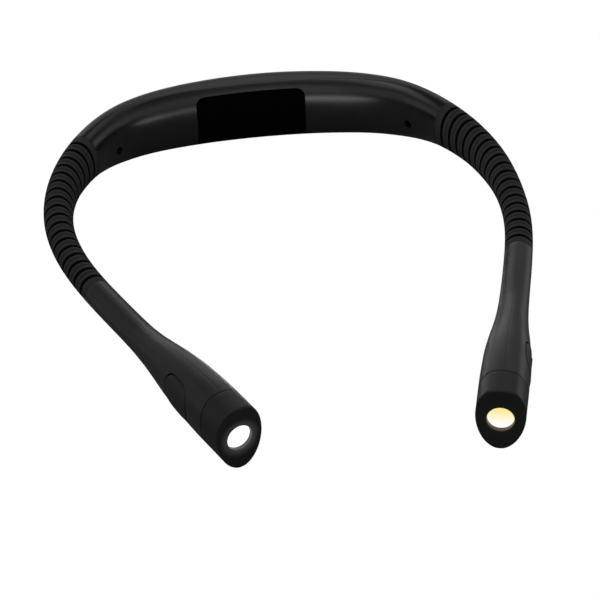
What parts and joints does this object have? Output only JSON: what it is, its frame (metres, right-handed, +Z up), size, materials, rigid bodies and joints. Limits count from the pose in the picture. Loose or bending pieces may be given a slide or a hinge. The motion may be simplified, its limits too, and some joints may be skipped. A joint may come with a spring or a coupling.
{
  "type": "neck reading light",
  "caption": "Rechargeable neck reading light: curved back housing with a neck pad, bendable ribbed arms and a lamp head with a push button on each arm.",
  "frame": {"origin": "on the flat under the housing's middle, where the light rests on a table", "axes": "+Z up, -Y towards the lamp faces and the neck opening, +X to the right seen from the lamps' side"},
  "size_m": [0.1789, 0.2348, 0.0275],
  "materials": {
    "rear_plastic": "fine matte",
    "inner_plastic": "semi-gloss",
    "pad_rubber": "matte",
    "sleeve_rubber": "matte",
    "head_plastic": "satin",
    "cap_plastic": "satin",
    "button_plastic": "matte",
    "left_lens_plastic": "frosted",
    "right_lens_plastic": "frosted",
    "reflector_chrome": "mirror coated",
    "led_phosphor": "smooth",
    "light_pipe": "clear",
    "board": "lacquered",
    "battery_foil": "foil",
    "bright_steel": "bare",
    "screw_steel": "dark",
    "switch_plastic": "matte",
    "wire_insulation": "smooth"
  },
  "bodies": {
    "housing": {"rear_cover": "rear_plastic", "inner_cover": "inner_plastic", "neck_pad": "pad_rubber", "left_cover_screw": "screw_steel", "right_cover_screw": "screw_steel", "battery": "battery_foil", "main_board": "board", "charging_socket": "bright_steel", "charge_light_pipe": "light_pipe", "left_housing_clamp": "screw_steel", "right_housing_clamp": "screw_steel"},
    "left_arm": {"left_sleeve": "sleeve_rubber", "left_gooseneck": "bright_steel", "left_lamp_wire": "wire_insulation"},
    "left_head": {"left_head_outer_shell": "head_plastic", "left_head_inner_shell": "head_plastic", "left_head_clamp": "screw_steel", "left_lamp_cap": "cap_plastic", "left_lens": "left_lens_plastic", "left_reflector": "reflector_chrome", "left_led_board": "board", "left_led": "led_phosphor", "left_switch_board": "board", "left_switch": "switch_plastic"},
    "left_button_press": {"left_button": "button_plastic", "left_switch_plunger": "switch_plastic"},
    "right_arm": {"right_sleeve": "sleeve_rubber", "right_gooseneck": "bright_steel", "right_lamp_wire": "wire_insulation"},
    "right_head": {"right_head_outer_shell": "head_plastic", "right_head_inner_shell": "head_plastic", "right_head_clamp": "screw_steel", "right_lamp_cap": "cap_plastic", "right_lens": "right_lens_plastic", "right_reflector": "reflector_chrome", "right_led_board": "board", "right_led": "led_phosphor", "right_switch_board": "board", "right_switch": "switch_plastic"},
    "right_button_press": {"right_button": "button_plastic", "right_switch_plunger": "switch_plastic"}
  },
  "joints": [
    {"name": "left_arm_swing", "type": "hinge", "parent": "housing", "child": "left_arm", "pos_m": [-0.08224, -0.06215, 0.01283], "axis": [0, 0, -1], "range_deg": [-8, 30], "deforming": ["left_sleeve", "left_gooseneck", "left_lamp_wire"]},
    {"name": "left_arm_lift", "type": "hinge", "parent": "left_arm", "child": "left_head", "pos_m": [-0.07931, -0.10654, 0.01171], "axis": [-0.9649, -0.2625, 0], "range_deg": [-30, 40], "deforming": ["left_sleeve", "left_gooseneck", "left_lamp_wire"]},
    {"name": "left_button_travel", "type": "slide", "parent": "left_head", "child": "left_button_press", "axis": [0.9155, 0.4022, 0], "range_m": [0, 0.0005], "stiffness_N_per_m": 400},
    {"name": "right_arm_swing", "type": "hinge", "parent": "housing", "child": "right_arm", "pos_m": [0.08252, -0.06208, 0.01283], "axis": [0, 0, 1], "range_deg": [-8, 30], "deforming": ["right_sleeve", "right_gooseneck", "right_lamp_wire"]},
    {"name": "right_arm_lift", "type": "hinge", "parent": "right_arm", "child": "right_head", "pos_m": [0.08328, -0.10672, 0.01171], "axis": [-0.9906, 0.1365, 0], "range_deg": [-30, 40], "deforming": ["right_sleeve", "right_gooseneck", "right_lamp_wire"]},
    {"name": "right_button_travel", "type": "slide", "parent": "right_head", "child": "right_button_press", "axis": [-0.9547, 0.2976, 0], "range_m": [0, 0.0005], "stiffness_N_per_m": 400}
  ]
}
